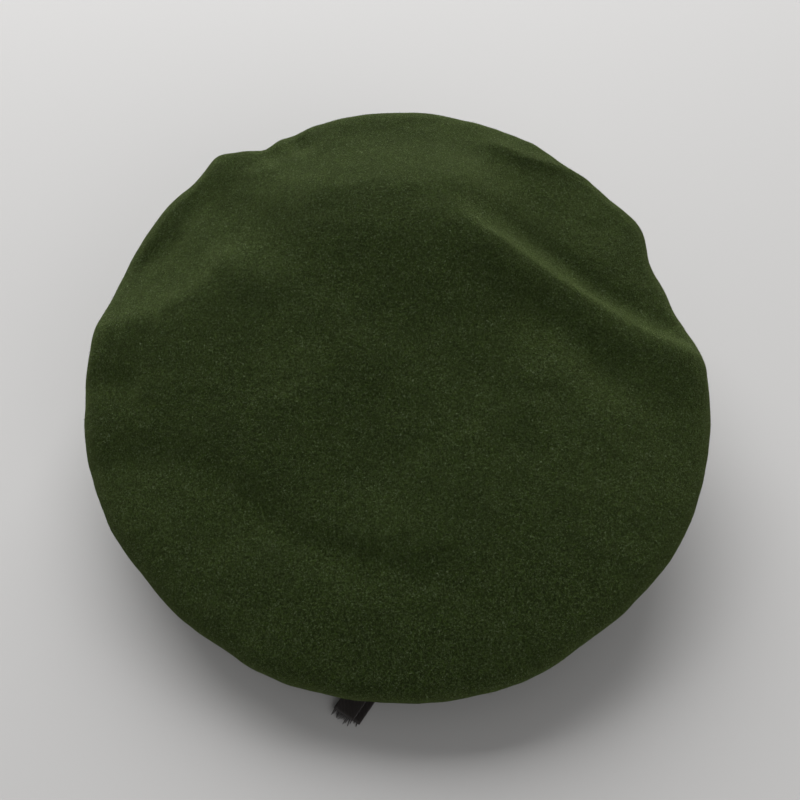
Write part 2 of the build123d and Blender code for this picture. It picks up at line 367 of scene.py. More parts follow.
def tail_line(name, route, side):
    """The tail's centreline as a NURBS curve, and the points along it."""
    start = KNOT_FACE + ACROSS * side
    curve = bpy.data.curves.new(name, "CURVE")
    curve.dimensions = "3D"
    spline = curve.splines.new("NURBS")
    spline.points.add(len(route) - 1)
    for point, (distance, height) in zip(spline.points, route):
        place = (start + HEADING * distance + Vector((0, 0, height))) * MM
        point.co = (*place, 1)
    spline.order_u = 3
    spline.use_endpoint_u = True
    spline.resolution_u = 24
    holder = bpy.data.objects.new(name, curve)
    scene.collection.objects.link(holder)
    bpy.context.view_layer.update()
    line = bpy.data.meshes.new_from_object(holder)
    points = [v.co.copy() for v in line.vertices]
    bpy.data.objects.remove(holder)
    bpy.data.meshes.remove(line)
    return points


def tail_ribbon(name, points, curl):
    """A flat ribbon along points, cupped and twisted more towards its end: curl is how much, in mm."""
    columns = 21
    twist_phase, edge_power, edge_share, cup_floor = 5.2, 8, 0.35, 0.4
    half = RIBBON_WIDTH / 2 * MM
    thick = RIBBON_THICKNESS / 2 * MM
    vertices = []
    for index, point in enumerate(points):
        along = (points[min(index + 1, len(points) - 1)] - points[max(index - 1, 0)]).normalized()
        up = along.cross(ACROSS).normalized()
        up = up if up.z > 0 else -up
        share = index / (len(points) - 1)
        twist = curl * sin(share * twist_phase) * MM
        for side in (1, -1):
            for column in range(columns):
                place = -1 + 2 * column / (columns - 1)
                edge = (1 - abs(place) ** edge_power) ** 0.5
                cup = curl * MM * (place * place - cup_floor) * share * 0.5
                lift = max(cup + twist * place * 0.25 * share, 0)
                depth = side * thick * (edge_share + (1 - edge_share) * edge)
                vertices.append(point + ACROSS * (half * place) + up * (depth + lift))
    rows = len(points)
    faces = []
    stride = 2 * columns
    for i in range(rows - 1):
        a, b = i * stride, (i + 1) * stride
        for j in range(columns - 1):
            faces.append((a + j, a + j + 1, b + j + 1, b + j))
            faces.append((a + columns + j + 1, a + columns + j, b + columns + j, b + columns + j + 1))
        faces.append((a, b, b + columns, a + columns))
        faces.append((a + columns - 1, a + 2 * columns - 1, b + 2 * columns - 1, b + columns - 1))
    for a in (0, (rows - 1) * stride):
        for j in range(columns - 1):
            quad = (a + j, a + columns + j, a + columns + j + 1, a + j + 1)
            faces.append(quad if a == 0 else quad[::-1])
    return new_object(name, vertices, faces)


def thread_tubes(name, lines, radius, sides=6):
    """Thin round threads along each list of points, each a little thinner at its end."""
    taper = 0.45
    vertices, faces = [], []
    for line in lines:
        start = len(vertices)
        for index, point in enumerate(line):
            along = (line[min(index + 1, len(line) - 1)] - line[max(index - 1, 0)]).normalized()
            side = along.cross(Vector((0, 0, 1)))
            side = side.normalized() if side.length > 1e-4 else Vector((1, 0, 0))
            up = side.cross(along)
            width = radius * (1 - taper * (index / (len(line) - 1)) ** 3)
            for k in range(sides):
                angle = 2 * pi * k / sides
                vertices.append(point + (side * cos(angle) + up * sin(angle)) * width)
        faces += grid_faces(len(line), sides, True, start)
        last = start + (len(line) - 1) * sides
        faces.append(tuple(range(start + sides - 1, start - 1, -1)))
        faces.append(tuple(range(last, last + sides)))
    return new_object(name, vertices, faces)


def frayed_end(name, points, count, width, longest):
    """The loose warp threads past a tail's cut end: width and longest are in mm."""
    inside_the_end, droop = 0.8, -0.5
    end, along = points[-1], (points[-1] - points[-3]).normalized()
    lines = []
    for k in range(count):
        place = (-1 + 2 * (k + 0.5) / count) * width / 2
        reach = rng.uniform(0.45, 1.0) * longest
        sway = rng.normal(0, 0.25)
        rise = rng.uniform(-0.1, 0.35)
        line = []
        for step in range(7):
            t = step / 6
            drop = droop * t * t + rise * t
            point = (end - along * inside_the_end * MM + along * (reach + inside_the_end) * t * MM
                     + ACROSS * (place + sway * reach * t * t) * MM + Vector((0, 0, drop)) * MM)
            point.z = max(point.z, THREAD_LOW * MM)
            line.append(point)
        lines.append(line)
    return thread_tubes(name, lines, 0.26 * MM)


upper_points = tail_line("upper_line", UPPER_ROUTE, -TAIL_OFFSET)
lower_points = tail_line("lower_line", LOWER_ROUTE, TAIL_OFFSET)
upper_tail = tail_ribbon("ribbon_tail_upper_cloth", upper_points, curl=0.7)
lower_tail = tail_ribbon("ribbon_tail_lower_cloth", lower_points, curl=0.2)
upper_fray = frayed_end("ribbon_tail_upper_fray", upper_points, count=13, width=9.4, longest=3.6)
lower_fray = frayed_end("ribbon_tail_lower_fray", lower_points, count=7, width=8.8, longest=1.4)


for tail, fray, points, node in (
    (upper_tail, upper_fray, upper_points, "ribbon_tail_upper"),
    (lower_tail, lower_fray, lower_points, "ribbon_tail_lower"),
):
    dress(tail, RIBBON, "drawstring", "ribbon", node)
    dress(fray, RIBBON, "drawstring", "ribbon")


# ---------------------------------------------------------------- the crown's outline and folds
# Bumps round the rim: (angle in degrees from +X in the rim's plane, half width in degrees,
# share of the radius)
RIM_BUMPS = [
    (26, 9, -0.048), (14, 6, -0.034), (34, 6, 0.030), (64, 9, 0.012), (80, 14, 0.010), (117, 2.2, -0.018),
    (126, 4.0, 0.044), (138, 17, 0.026), (148, 9, -0.004), (218, 22, -0.014), (240, 7, -0.018),
    (292, 10, 0.020), (328, 18, 0.018),
]
# Folds on the top: (points in mm from the crown's centre in the rim's plane, height in mm, reach to the
# rear, reach to the front, share of the height at the first point and at the last)
FOLDS = [
    ([(14, 88), (38, 65), (67, 48), (96, 29), (114, 18), (140, 5)], 7.5, 7.0, 22.0, 0.0, 1.0),
    ([(40, 84), (60, 69), (80, 55), (98, 41), (124, 26)], -3.4, 8.0, 10.0, 0.2, 0.8),
    ([(44, 42), (64, 29), (86, 8), (112, -20)], -4.2, 13.0, 24.0, 0.0, 0.4),
    ([(-78, 70), (-46, 82), (-22, 86), (10, 86), (40, 88), (70, 96)], 11.0, 32.0, 66.0, 0.0, 0.0),
    ([(-140, 22), (-109, 29), (-86, 42), (-60, 74)], 8.0, 17.0, 44.0, 1.0, 0.0),
    ([(-128, 56), (-106, 70), (-94, 92), (-88, 112)], -2.6, 12.0, 10.0, 1.0, 0.0),
    ([(0, 70), (-9, -15), (-19, -42), (-2, -88)], -3.5, 30.0, 30.0, 0.0, 0.0),
    ([(-16, 6), (-11, -25), (-5, -47), (1, -73)], -2.4, 13.0, 13.0, 0.0, 0.0),
    ([(-132, -39), (-100, -38), (-80, -44), (-62, -61), (-40, -77), (2, -90), (44, -103)],
     -3.0, 10.0, 15.0, 1.0, 0.0),
    ([(-134, 0), (-112, -6)], -2.2, 7.0, 7.0, 1.0, 0.0),
    ([(16, -52), (34, -31), (54, -20), (78, -14)], 1.2, 7.0, 16.0, 0.0, 0.0),
    ([(37, -12), (73, -2), (112, -34)], 2.6, 20.0, 20.0, 0.0, 0.0),
    ([(36, 124), (64, 113), (94, 108)], 3.0, 5.0, 7.0, 0.0, 0.6),
    ([(-54, 144), (-50, 128), (-40, 112)], -4.0, 5.0, 6.0, 1.0, 0.0),
    ([(-66, 142), (-66, 124), (-58, 108)], -2.8, 6.0, 6.0, 1.0, 0.0),
]
FOLD_END = 0.3  # the share of a fold's length over which its end fades
FOLD_FALL = 1.6
# Waves round the crown: (height in mm, how many go round, phase)
SAG = [(3.0, 1, 0.5), (-2.2, 2, -0.6), (1.3, 3, 1.9)]
PLEATS = [(1.3, 9, 1.1), (1.0, 16, 0.4), (0.7, 23, 2.0)]


def waves(angle, table, wave):
    """The sum of a table's waves at each angle; wave is np.sin or np.cos."""
    return sum(height * wave(times * angle + phase) for height, times, phase in table)


def along_polyline(x, y, points):
    """For each place: its distance from a line of points, the side it is on, and its share of the way."""
    best = np.full(x.shape, 1e9)
    side = np.zeros(x.shape)
    share = np.zeros(x.shape)
    lengths = [sqrt((b[0] - a[0]) ** 2 + (b[1] - a[1]) ** 2) for a, b in zip(points, points[1:])]
    whole, gone = sum(lengths), 0.0
    for (ax, ay), (bx, by), length in zip(points, points[1:], lengths):
        dx, dy = (bx - ax) / length, (by - ay) / length
        t = np.clip((x - ax) * dx + (y - ay) * dy, 0, length)
        px, py = x - ax - dx * t, y - ay - dy * t
        distance = np.hypot(px, py)
        nearer = distance < best
        best = np.where(nearer, distance, best)
        side = np.where(nearer, np.sign(dx * (y - ay) - dy * (x - ax)), side)
        share = np.where(nearer, (gone + t) / whole, share)
        gone += length
    return best, side, share


def fold_height(x, y):
    """How far the top stands out at places in the rim's plane, in mm."""
    height = np.zeros(x.shape)
    for points, amount, above, below, first, last in FOLDS:
        left_is_above = points[-1][0] >= points[0][0]
        distance, side, share = along_polyline(x, y, points)
        upper = side > 0 if left_is_above else side < 0
        reach = np.where(upper, above, below)
        ends = ((first + (1 - first) * smoothstep(share, 0, FOLD_END))
                * (last + (1 - last) * smoothstep(1 - share, 0, FOLD_END)))
        height = height + amount * ends / (1 + (distance / reach) ** 2) ** FOLD_FALL
    return height


def rim_scale(angle):
    """The share of the round radius that the rim has at an angle in the rim's plane."""
    scale = np.ones(angle.shape)
    for centre, half, amount in RIM_BUMPS:
        away = (angle - radians(centre) + pi) % (2 * pi) - pi
        scale = scale + amount * np.exp(-((away / radians(half)) ** 2))
    return scale


def wander(points, scale, amount, seed):
    """Soft noise at each point: points is an array of places in mm, and each seed gives another noise."""
    falloff, step, octaves = 0.8, 2.0, 3
    offset = Vector((seed * 17.3, seed * 5.1, seed * 9.7))
    values = [noise.fractal(Vector(place) * scale + offset, falloff, step, octaves)
              for place in points.reshape(-1, 3)]
    return amount * np.array(values).reshape(points.shape[:-1])


def rim_to_part(x, y, w):
    """Places given in the rim's plane and w above it, as places in the part's frame, in mm."""
    return np.stack([x, RIM_CENTRE[0] + y * cos(LEAN) - w * sin(LEAN),
                     RIM_CENTRE[1] + y * sin(LEAN) + w * cos(LEAN)], axis=-1)


def circle(angle, radius, centre_y, centre_z, lean):
    """Places on a circle that leans back, in mm."""
    return np.stack([radius * np.cos(angle), centre_y + radius * np.sin(angle) * cos(lean),
                     centre_z + radius * np.sin(angle) * sin(lean)], axis=-1)


AROUND = 420
theta = np.linspace(0, 2 * pi, AROUND, endpoint=False)
WALL_ROWS = 12
EYELET_SEATS = [circle(np.array(a), *UNDERSIDE) for a in (radians(8), radians(-8))]
EYELET_CUT = 2.75
EYELET_CALM = (6.0, 16.0)  # no creases within the first distance from a seat, full creases past the second


def seat_distance(grid):
    """How far each place is from the nearer eyelet's seat, in mm."""
    return np.min([np.linalg.norm(grid - seat, axis=-1) for seat in EYELET_SEATS], axis=0)


def crown_rows():
    """The felt's outer face, as (kind, places) for each row from the hem to the apex."""
    under_rows, rim_rows, top_rows = 63, 35, 131
    middle_at = 0.45  # the share of the way to the rim at which the underside passes through its circle
    pleat_share, pleat_fade, hollow = 0.75, 0.65, 1.2
    fold_turns, fold_share = (0.8, 2.6), 0.9  # how the folds grow as the rim turns over
    dent_reach, sag_reach = (60, 128), (20, 130)  # how far in the outline's bumps and the sag reach
    rim_start = radians(35)
    rows = []
    ring = np.stack([np.cos(theta), np.sin(theta)], axis=-1)
    for z in np.linspace(FELT_LOW, BINDING_HEIGHT - 1, WALL_ROWS):
        rows.append(("wall", circle(theta, FELT_OUTER, 0, z, 0)))
    start = circle(theta, FELT_OUTER, 0, BINDING_HEIGHT, 0)
    middle = circle(theta, *UNDERSIDE)
    scale = rim_scale(theta)
    sag = waves(theta, SAG, np.cos)
    pleat = waves(theta, PLEATS, np.sin)
    rim_x = (RIM_ROUND_CENTRE + RIM_ROUND * sin(rim_start)) * scale
    edge = rim_to_part(rim_x * ring[:, 0], rim_x * ring[:, 1], -RIM_ROUND * cos(rim_start) + 0 * theta)
    edge[:, 2] += sag
    for t in np.linspace(0, 1, under_rows + 1)[:-1]:
        a = (t - middle_at) * (t - 1) / middle_at
        b = t * (t - 1) / (middle_at * (middle_at - 1))
        c = t * (t - middle_at) / (1 - middle_at)
        place = start * a + middle * b + edge * c
        hang = np.sin(pi * t)
        calm = smoothstep(seat_distance(place), *EYELET_CALM)
        place[:, 2] += calm * hang * (pleat * (1 - pleat_fade * t) * pleat_share - hollow)
        rows.append(("under", place))
    for turn in np.linspace(rim_start, pi - TOP_ANGLE, rim_rows + 1)[:-1]:
        radius = (RIM_ROUND_CENTRE + RIM_ROUND * sin(turn)) * scale
        x, y = radius * ring[:, 0], radius * ring[:, 1]
        folded = float(smoothstep(np.array(turn), *fold_turns)) * fold_share
        place = rim_to_part(x, y, -RIM_ROUND * cos(turn) + fold_height(x, y) * folded)
        place[:, 2] += sag
        rows.append(("rim", place))
    for angle in np.linspace(TOP_ANGLE, 0, top_rows + 1)[:-1]:
        radius = TOP_ROUND * sin(angle)
        grown = radius * (1 + (scale - 1) * smoothstep(np.array(radius), *dent_reach))
        x, y = grown * ring[:, 0], grown * ring[:, 1]
        place = rim_to_part(x, y, TOP_CENTRE + TOP_ROUND * cos(angle) + fold_height(x, y))
        place[:, 2] += sag * float(smoothstep(np.array(radius), *sag_reach))
        rows.append(("top", place))
    return rows


rows = crown_rows()
kinds = np.array([kind for kind, _ in rows])
outer = np.array([place for _, place in rows])


def surface_normals(grid):
    """Outward normals of a grid of rows that close round."""
    down = np.gradient(grid, axis=0)
    around = (np.roll(grid, -1, axis=1) - np.roll(grid, 1, axis=1)) / 2
    normal = np.cross(around, down)
    return normal / np.linalg.norm(normal, axis=-1, keepdims=True)


def smooth_rows(grid, times):
    """The grid with small creases evened out, its first and last rows held."""
    kept = 0.4
    for _ in range(times):
        middle = (np.roll(grid, 1, axis=1) + np.roll(grid, -1, axis=1)) / 2
        up = np.vstack([grid[:1], grid[:-1]])
        below = np.vstack([grid[1:], grid[-1:]])
        relaxed = (middle + (up + below) / 2) / 2
        relaxed[0] = grid[0]
        relaxed[-1] = grid[-1]
        grid = grid * kept + relaxed * (1 - kept)
    return grid


def freed(by_row):
    """For each row, how free it is to crease: 0 on the wall by the binding, and 1 from row by_row on."""
    free = np.ones((len(kinds), 1))
    free[:by_row] = smoothstep(np.arange(float(by_row)), WALL_ROWS, by_row)[:, None]
    return free


SEAT_RISE = 0.45  # how far the felt stands up round each eyelet, in mm
FELT_FREE_ROW, LINING_FREE_ROW = 30, 26

outer = smooth_rows(outer, 3)
normals = surface_normals(outer)
calm = smoothstep(seat_distance(outer), *EYELET_CALM)
swell = wander(outer, scale=0.022, amount=1.1, seed=1) + wander(outer, scale=0.07, amount=0.32, seed=2)
outer = outer + normals * (freed(FELT_FREE_ROW) * calm * swell + SEAT_RISE * (1 - calm))[..., None]
normals = surface_normals(outer)

SEAT_AXES = []
for seat in EYELET_SEATS:
    nearest = np.unravel_index(np.argmin(np.linalg.norm(outer - seat, axis=-1)), outer.shape[:2])
    SEAT_AXES.append((seat, normals[nearest]))


def axis_distance(places):
    """How far each place is from the nearer eyelet's axis, in mm; places far along it don't count."""
    best = np.full(len(places), 1e9)
    for seat, way in SEAT_AXES:
        offset = places - seat
        along = offset @ way
        away = np.linalg.norm(offset - along[:, None] * way, axis=1)
        best = np.minimum(best, np.where(np.abs(along) < 4 * FELT_THICKNESS, away, 1e9))
    return best


def closed_layer(name, face, thickness, first, last, cap):
    """A solid layer that goes inwards from a face's rows first to last; cap closes it at the apex."""
    along = surface_normals(face)
    top_normal = along[-1].mean(axis=0)
    top_normal /= np.linalg.norm(top_normal)
    top_place = face[-1].mean(axis=0)
    sides = []
    for depth in (0.0, thickness):
        sides.append((face[first:last] - along[first:last] * depth, top_place - top_normal * depth))
    count, around = sides[0][0].shape[:2]
    vertices, faces = [], []
    for index, (grid, tip) in enumerate(sides):
        start = len(vertices)
        vertices += list(grid.reshape(-1, 3) * MM)
        layer = grid_faces(count, around, True, start)
        if cap:
            vertices.append(tip * MM)
            end = start + (count - 1) * around
            layer += [(end + j, end + (j + 1) % around, len(vertices) - 1) for j in range(around)]
        faces += [f[::-1] for f in layer] if index else layer
    second = count * around + (1 if cap else 0)
    cut = set(np.flatnonzero(axis_distance(np.array(vertices) / MM) < EYELET_CUT))
    faces = [corners for corners in faces if not cut.intersection(corners)]
    for row in (0,) if cap else (0, count - 1):
        for j in range(around):
            k = (j + 1) % around
            quad = (row * around + k, row * around + j, second + row * around + j, second + row * around + k)
            faces.append(quad if row == 0 else quad[::-1])
    return new_object(name, vertices, faces)


felt = closed_layer("crown_felt", outer, FELT_THICKNESS, 0, len(outer), cap=True)
dress(felt, FELT, "beret", "felt", "crown_shell")


def felt_nap(name, count, first, last):
    """Short loose fibres that stand out of the felt, each one narrow blade; lengths are in mm."""
    long_share, long_times, steepest, root_depth = 0.05, 1.7, 1.15, 0.08
    patch = outer[first:last]
    facing_out = normals[first:last]
    a, b = patch[:-1], np.roll(patch, -1, axis=1)[:-1]
    c = patch[1:]
    area = np.linalg.norm(np.cross(b - a, c - a), axis=-1).ravel()
    picked = rng.choice(area.size, count, p=area / area.sum())
    row, column = np.unravel_index(picked, a.shape[:2])
    u, v = rng.random((2, count, 1))
    next_column = (column + 1) % patch.shape[1]
    low = patch[row, column] * (1 - u) + patch[row, next_column] * u
    high = patch[row + 1, column] * (1 - u) + patch[row + 1, next_column] * u
    root = low * (1 - v) + high * v
    out = facing_out[row, column]
    lie = np.cross(out, rng.normal(size=(count, 3)))
    lie /= np.linalg.norm(lie, axis=1, keepdims=True)
    side = np.cross(out, lie)
    long_one = rng.random((count, 1)) < long_share
    length = rng.uniform(0.45, 1.1, (count, 1)) * np.where(long_one, long_times, 1.0)
    rise = rng.beta(1.6, 3.2, (count, 1)) * steepest
    tip = root + (lie * np.cos(rise) + out * np.sin(rise)) * length
    width = rng.uniform(0.045, 0.075, (count, 1))
    root = root - out * root_depth
    vertices = np.stack([root - side * width, root + side * width, tip], axis=1).reshape(-1, 3) * MM
    mesh = bpy.data.meshes.new(name)
    mesh.vertices.add(3 * count)
    mesh.vertices.foreach_set("co", vertices.ravel())
    mesh.loops.add(3 * count)
    mesh.loops.foreach_set("vertex_index", np.arange(3 * count, dtype=np.int32))
    mesh.polygons.add(count)
    mesh.polygons.foreach_set("loop_start", np.arange(0, 3 * count, 3, dtype=np.int32))
    mesh.update(calc_edges=True)
    made = bpy.data.objects.new(name, mesh)
    scene.collection.objects.link(made)
    return made


NAP_FIBRES = 60000
NAP_FIRST_ROW = 20
nap = felt_nap("crown_felt_nap", NAP_FIBRES, NAP_FIRST_ROW, len(outer))
dress(nap, FIBRE, "beret", "felt")

# ---------------------------------------------------------------- lining
LINING_DEPTH = 2.75  # how far the lining is below the felt's outer face, in mm
LINING_CALM = (8, 18)
HEM_ROW = 5
SEAM_ROW = int(np.argmax(kinds == "top")) + 4

inside = smooth_rows(outer - normals * LINING_DEPTH, 6)
inside_normals = surface_normals(inside)
pucker = (np.abs(wander(inside, scale=0.03, amount=1.6, seed=5))
          + 0.35 * np.abs(wander(inside, scale=0.12, amount=1.0, seed=6)))
pucker = freed(LINING_FREE_ROW) * pucker * smoothstep(seat_distance(inside), *LINING_CALM)
inside = inside - inside_normals * pucker[..., None]
side_lining = closed_layer("lining_side_cloth", inside, LINING_THICKNESS, HEM_ROW, SEAM_ROW + 1, cap=False)
crown_lining = closed_layer("lining_crown_cloth", inside, LINING_THICKNESS, SEAM_ROW, len(outer), cap=True)
dress(side_lining, LINING, "beret", "lining", "lining_side_panel")
dress(crown_lining, LINING, "beret", "lining", "lining_crown_panel")

# ---------------------------------------------------------------- label and stiffener, lying on the lining
lining_tree = BVHTree.FromPolygons([v.co.copy() for v in crown_lining.data.vertices],
                                   [tuple(p.vertices) for p in crown_lining.data.polygons])
UP = Vector((0, -sin(LEAN), cos(LEAN)))
LOOK_FROM = -4.0  # the height in the rim's plane, in mm, from which the lining is looked for


def lining_place(x, y):
    """The lining's inner face above a place in the rim's plane in mm, and the way down from it."""
    start = Vector(rim_to_part(np.array([x]), np.array([y]), np.array([LOOK_FROM]))[0])
    return lining_tree.ray_cast(start * MM, UP)[0] / MM, -UP


def round_box(x, y, half_x, half_y, corner):
    """A square's place moved onto a box with round corners: x and y run from -1 to 1."""
    x, y = x * half_x, y * half_y
    over_x, over_y = abs(x) - (half_x - corner), abs(y) - (half_y - corner)
    if over_x > 0 and over_y > 0:
        reach = max(over_x, over_y) / sqrt(over_x**2 + over_y**2)
        x = (half_x - corner + over_x * reach) * (1 if x > 0 else -1)
        y = (half_y - corner + over_y * reach) * (1 if y > 0 else -1)
    return x, y


def lining_patch(name, centre, turn, size, corner, depth, thickness, puff=0.0, cells=(56, 36)):
    """A flat piece lying against the lining's inner face, with its edges pressed to it.

    centre, size, corner, depth, thickness and puff are in mm; puff is how far its middle stands away."""
    sides = ([], [])
    for i in range(cells[1] + 1):
        for j in range(cells[0] + 1):
            a, b = -1 + 2 * j / cells[0], -1 + 2 * i / cells[1]
            x, y = round_box(a, b, size[0] / 2, size[1] / 2, corner)
            place, normal = lining_place(centre[0] + x * cos(turn) - y * sin(turn),
                                         centre[1] + x * sin(turn) + y * cos(turn))
            rise = puff * (1 - max(abs(a), abs(b)) ** 6)
            sides[0].append((place + normal * (depth + rise)) * MM)
            sides[1].append((place + normal * (depth + rise + thickness)) * MM)
    columns = cells[0] + 1
    count = len(sides[0])
    layer = grid_faces(cells[1] + 1, columns, False)
    faces = layer + [tuple(k + count for k in f[::-1]) for f in layer]
    rim = (list(range(columns)) + [i * columns + cells[0] for i in range(1, cells[1] + 1)]
           + [cells[1] * columns + j for j in range(cells[0] - 1, -1, -1)]
           + [i * columns for i in range(cells[1] - 1, 0, -1)])
    faces += [(b, a, a + count, b + count) for a, b in zip(rim, rim[1:] + rim[:1])]
    return new_object(name, sides[0] + sides[1], faces)


def patch_stitches(name, centre, turn, size, corner, depth, pitch, radius):
    """Stitches round the edge of a lining patch, a pitch apart; lengths are in mm."""
    gap, arch, steps = 0.12, 0.25, 4
    corners = [(-1, -1), (1, -1), (1, 1), (-1, 1)]
    lines = []
    for (ax, ay), (bx, by) in zip(corners, corners[1:] + corners[:1]):
        span = size[0] if ax != bx else size[1]
        number = int(span / pitch)
        for k in range(number):
            line = []
            for step in range(steps + 1):
                t = (k + gap + (1 - 2 * gap) * step / steps) / number
                x, y = round_box(ax + (bx - ax) * t, ay + (by - ay) * t, size[0] / 2, size[1] / 2, corner)
                place, normal = lining_place(centre[0] + x * cos(turn) - y * sin(turn),
                                             centre[1] + x * sin(turn) + y * cos(turn))
                line.append((place + normal * (depth + arch * sin(pi * step / steps))) * MM)
            lines.append(line)
    return thread_tubes(name, lines, radius * MM, sides=5)


STIFFENER_PLACE = (-64, 66), radians(44)
LABEL_PLACE = (0, 0), 0
stiffener = lining_patch(
    "badge_stiffener_board", *STIFFENER_PLACE, (56, 30), corner=8, depth=0.3, thickness=1.0)
cover = lining_patch(
    "stiffener_cover_cloth", *STIFFENER_PLACE, (66, 38), corner=8, depth=0.15, thickness=0.45, puff=1.35,
    cells=(66, 40))
label = lining_patch(
    "woven_label_cloth", *LABEL_PLACE, (42, 26), corner=1.5, depth=0.15, thickness=0.5)
cover_thread = patch_stitches(
    "stiffener_cover_stitches", *STIFFENER_PLACE, (63.5, 35.5), corner=7, depth=0.95, pitch=2.6, radius=0.2)
label_thread = patch_stitches(
    "woven_label_stitches", *LABEL_PLACE, (39.5, 23.5), corner=1, depth=0.7, pitch=2.2, radius=0.18)
dress(stiffener, BOARD, "beret", "stiffener", "badge_stiffener")
dress(cover, LINING, "beret", "lining", "stiffener_cover")
dress(label, LABEL, "beret", "label", "woven_label")
dress(cover_thread, THREAD, "beret", "thread")
dress(label_thread, THREAD, "beret", "thread")

# ---------------------------------------------------------------- leather binding
# The folded strip's section, as (radius, height) in mm: down the inner leaf, up the outer leaf,
# and back inside the fold
BINDING_PROFILE = [
    (90.0, 20.0), (90.05, 15.0), (90.0, 8.0), (90.05, 2.2), (90.5, 0.9), (91.6, 0.15), (93.0, 0.0),
    (95.2, 0.0), (96.6, 0.25), (97.2, 1.0), (97.4, 2.4), (97.4, 8.0), (97.4, 13.6), (97.25, 15.0),
    (96.9, 16.6), (96.45, 18.4), (96.3, 19.6), (95.9, 20.0), (95.35, 19.8), (95.25, 18.6), (95.7, 16.0),
    (96.15, 14.4), (96.2, 8.0), (96.2, 3.0), (95.4, 1.6), (93.7, 1.2), (92.0, 1.5), (91.3, 3.0),
    (91.2, 8.0), (91.2, 15.0), (91.2, 19.4), (90.9, 20.0), (90.4, 20.1),
]


def leather_ring():
    """The folded strip, swept round the head opening, leaving a window in the outer leaf."""
    count = len(BINDING_PROFILE)
    steps = 720
    outer_leaf, leaf_swell, leaf_from = range(8, 20), 0.22, 94.5
    half_window = WINDOW_HALF / LEAF_OUTER
    vertices = []
    for step in range(steps):
        angle = 2 * pi * step / steps
        for index, (radius, height) in enumerate(BINDING_PROFILE):
            swell = leaf_swell * noise.noise(Vector((cos(angle) * 5, sin(angle) * 5, height * 0.12)))
            out = radius + (swell if index in outer_leaf else 0.0)
            vertices.append((out * cos(angle) * MM, out * sin(angle) * MM, height * MM))
    faces = []
    for step in range(steps):
        after = (step + 1) % steps
        angle = 2 * pi * (step + 0.5) / steps
        away = (angle - WINDOW_ANGLE + pi) % (2 * pi) - pi
        for index in range(count):
            following = (index + 1) % count
            height = (BINDING_PROFILE[index][1] + BINDING_PROFILE[following][1]) / 2
            radius = (BINDING_PROFILE[index][0] + BINDING_PROFILE[following][0]) / 2
            in_window = abs(away) < half_window and WINDOW_HEIGHTS[0] < height < WINDOW_HEIGHTS[1]
            if in_window and radius > leaf_from:
                continue
            faces.append((step * count + index, after * count + index,
                          after * count + following, step * count + following))
    return new_object("leather_binding_strip", vertices, faces)


binding = leather_ring()
dress(binding, LEATHER, "beret", "leather", "leather_binding")


def binding_stitches():
    """The binding's row of stitches, each a short thread that dips into the leather at both ends."""
    count, steps, gap = 168, 8, 0.10
    seat_radius, arch, row_height, unevenness = 96.45, 0.5, 17.5, 0.12
    lines = []
    for k in range(count):
        line = []
        height = row_height + unevenness * sin(k * 2.3)
        for step in range(steps + 1):
            t = step / steps
            angle = 2 * pi * (k + gap + (1 - 2 * gap) * t) / count
            radius = seat_radius + arch * sin(pi * t) ** 0.5
            line.append(Vector((radius * cos(angle), radius * sin(angle), height)) * MM)
        lines.append(line)
    return thread_tubes("binding_stitches", lines, 0.3 * MM)


stitch_ring = binding_stitches()
dress(stitch_ring, THREAD, "beret", "thread", "binding_thread")


# ---------------------------------------------------------------- drawstring in the binding
def ribbon_ring():
    """The ribbon round the inside of the binding, open at the window."""
    steps = 300
    section = [(95.05, 3.5), (95.05, 8.5), (95.05, 13.5), (95.85, 13.5), (95.85, 8.5), (95.85, 3.5)]
    corners = len(section)
    vertices = []
    for step in range(steps):
        angle = WINDOW_ANGLE + RIBBON_GAP + (2 * pi - 2 * RIBBON_GAP) * step / (steps - 1)
        for radius, height in section:
            vertices.append((radius * cos(angle) * MM, radius * sin(angle) * MM, height * MM))
    faces = grid_faces(steps, corners, True)
    faces.append(tuple(reversed(range(corners))))
    faces.append(tuple(range((steps - 1) * corners, steps * corners)))
    return new_object("drawstring_ribbon_cloth", vertices, faces)


dress(ribbon_ring(), RIBBON, "beret", "ribbon", "drawstring_ribbon")


def band_loop(name, centre, tilt, size, width, thick=RIBBON_THICKNESS):
    """A flat ribbon wrapped once round a rounded body: size is the body's half height and half depth."""
    vertices, steps = [], 72
    squareness, waist = 3.2, 0.18
    axis = (ACROSS * cos(tilt) + Vector((0, 0, 1)) * sin(tilt)).normalized()
    up = (Vector((0, 0, 1)) * cos(tilt) - ACROSS * sin(tilt)).normalized()
    section = [(-1, 0.2), (-0.92, 0.85), (-0.5, 1), (0, 1.08), (0.5, 1), (0.92, 0.85), (1, 0.2),
               (0.6, 0), (0, 0), (-0.6, 0)]
    for step in range(steps):
        angle = 2 * pi * step / steps
        ca, sa = cos(angle), sin(angle)
        swell = (abs(ca) ** squareness + abs(sa) ** squareness) ** (-1 / squareness)
        out = up * ca * size[0] * swell + HEADING * sa * size[1] * swell
        flat = out.normalized()
        pinch = 1 - waist * abs(sa)
        for across, rise in section:
            vertices.append((centre + out + flat * (rise * thick) + axis * (across * width / 2 * pinch)) * MM)
    return new_object(name, vertices, grid_faces(steps, len(section), True))


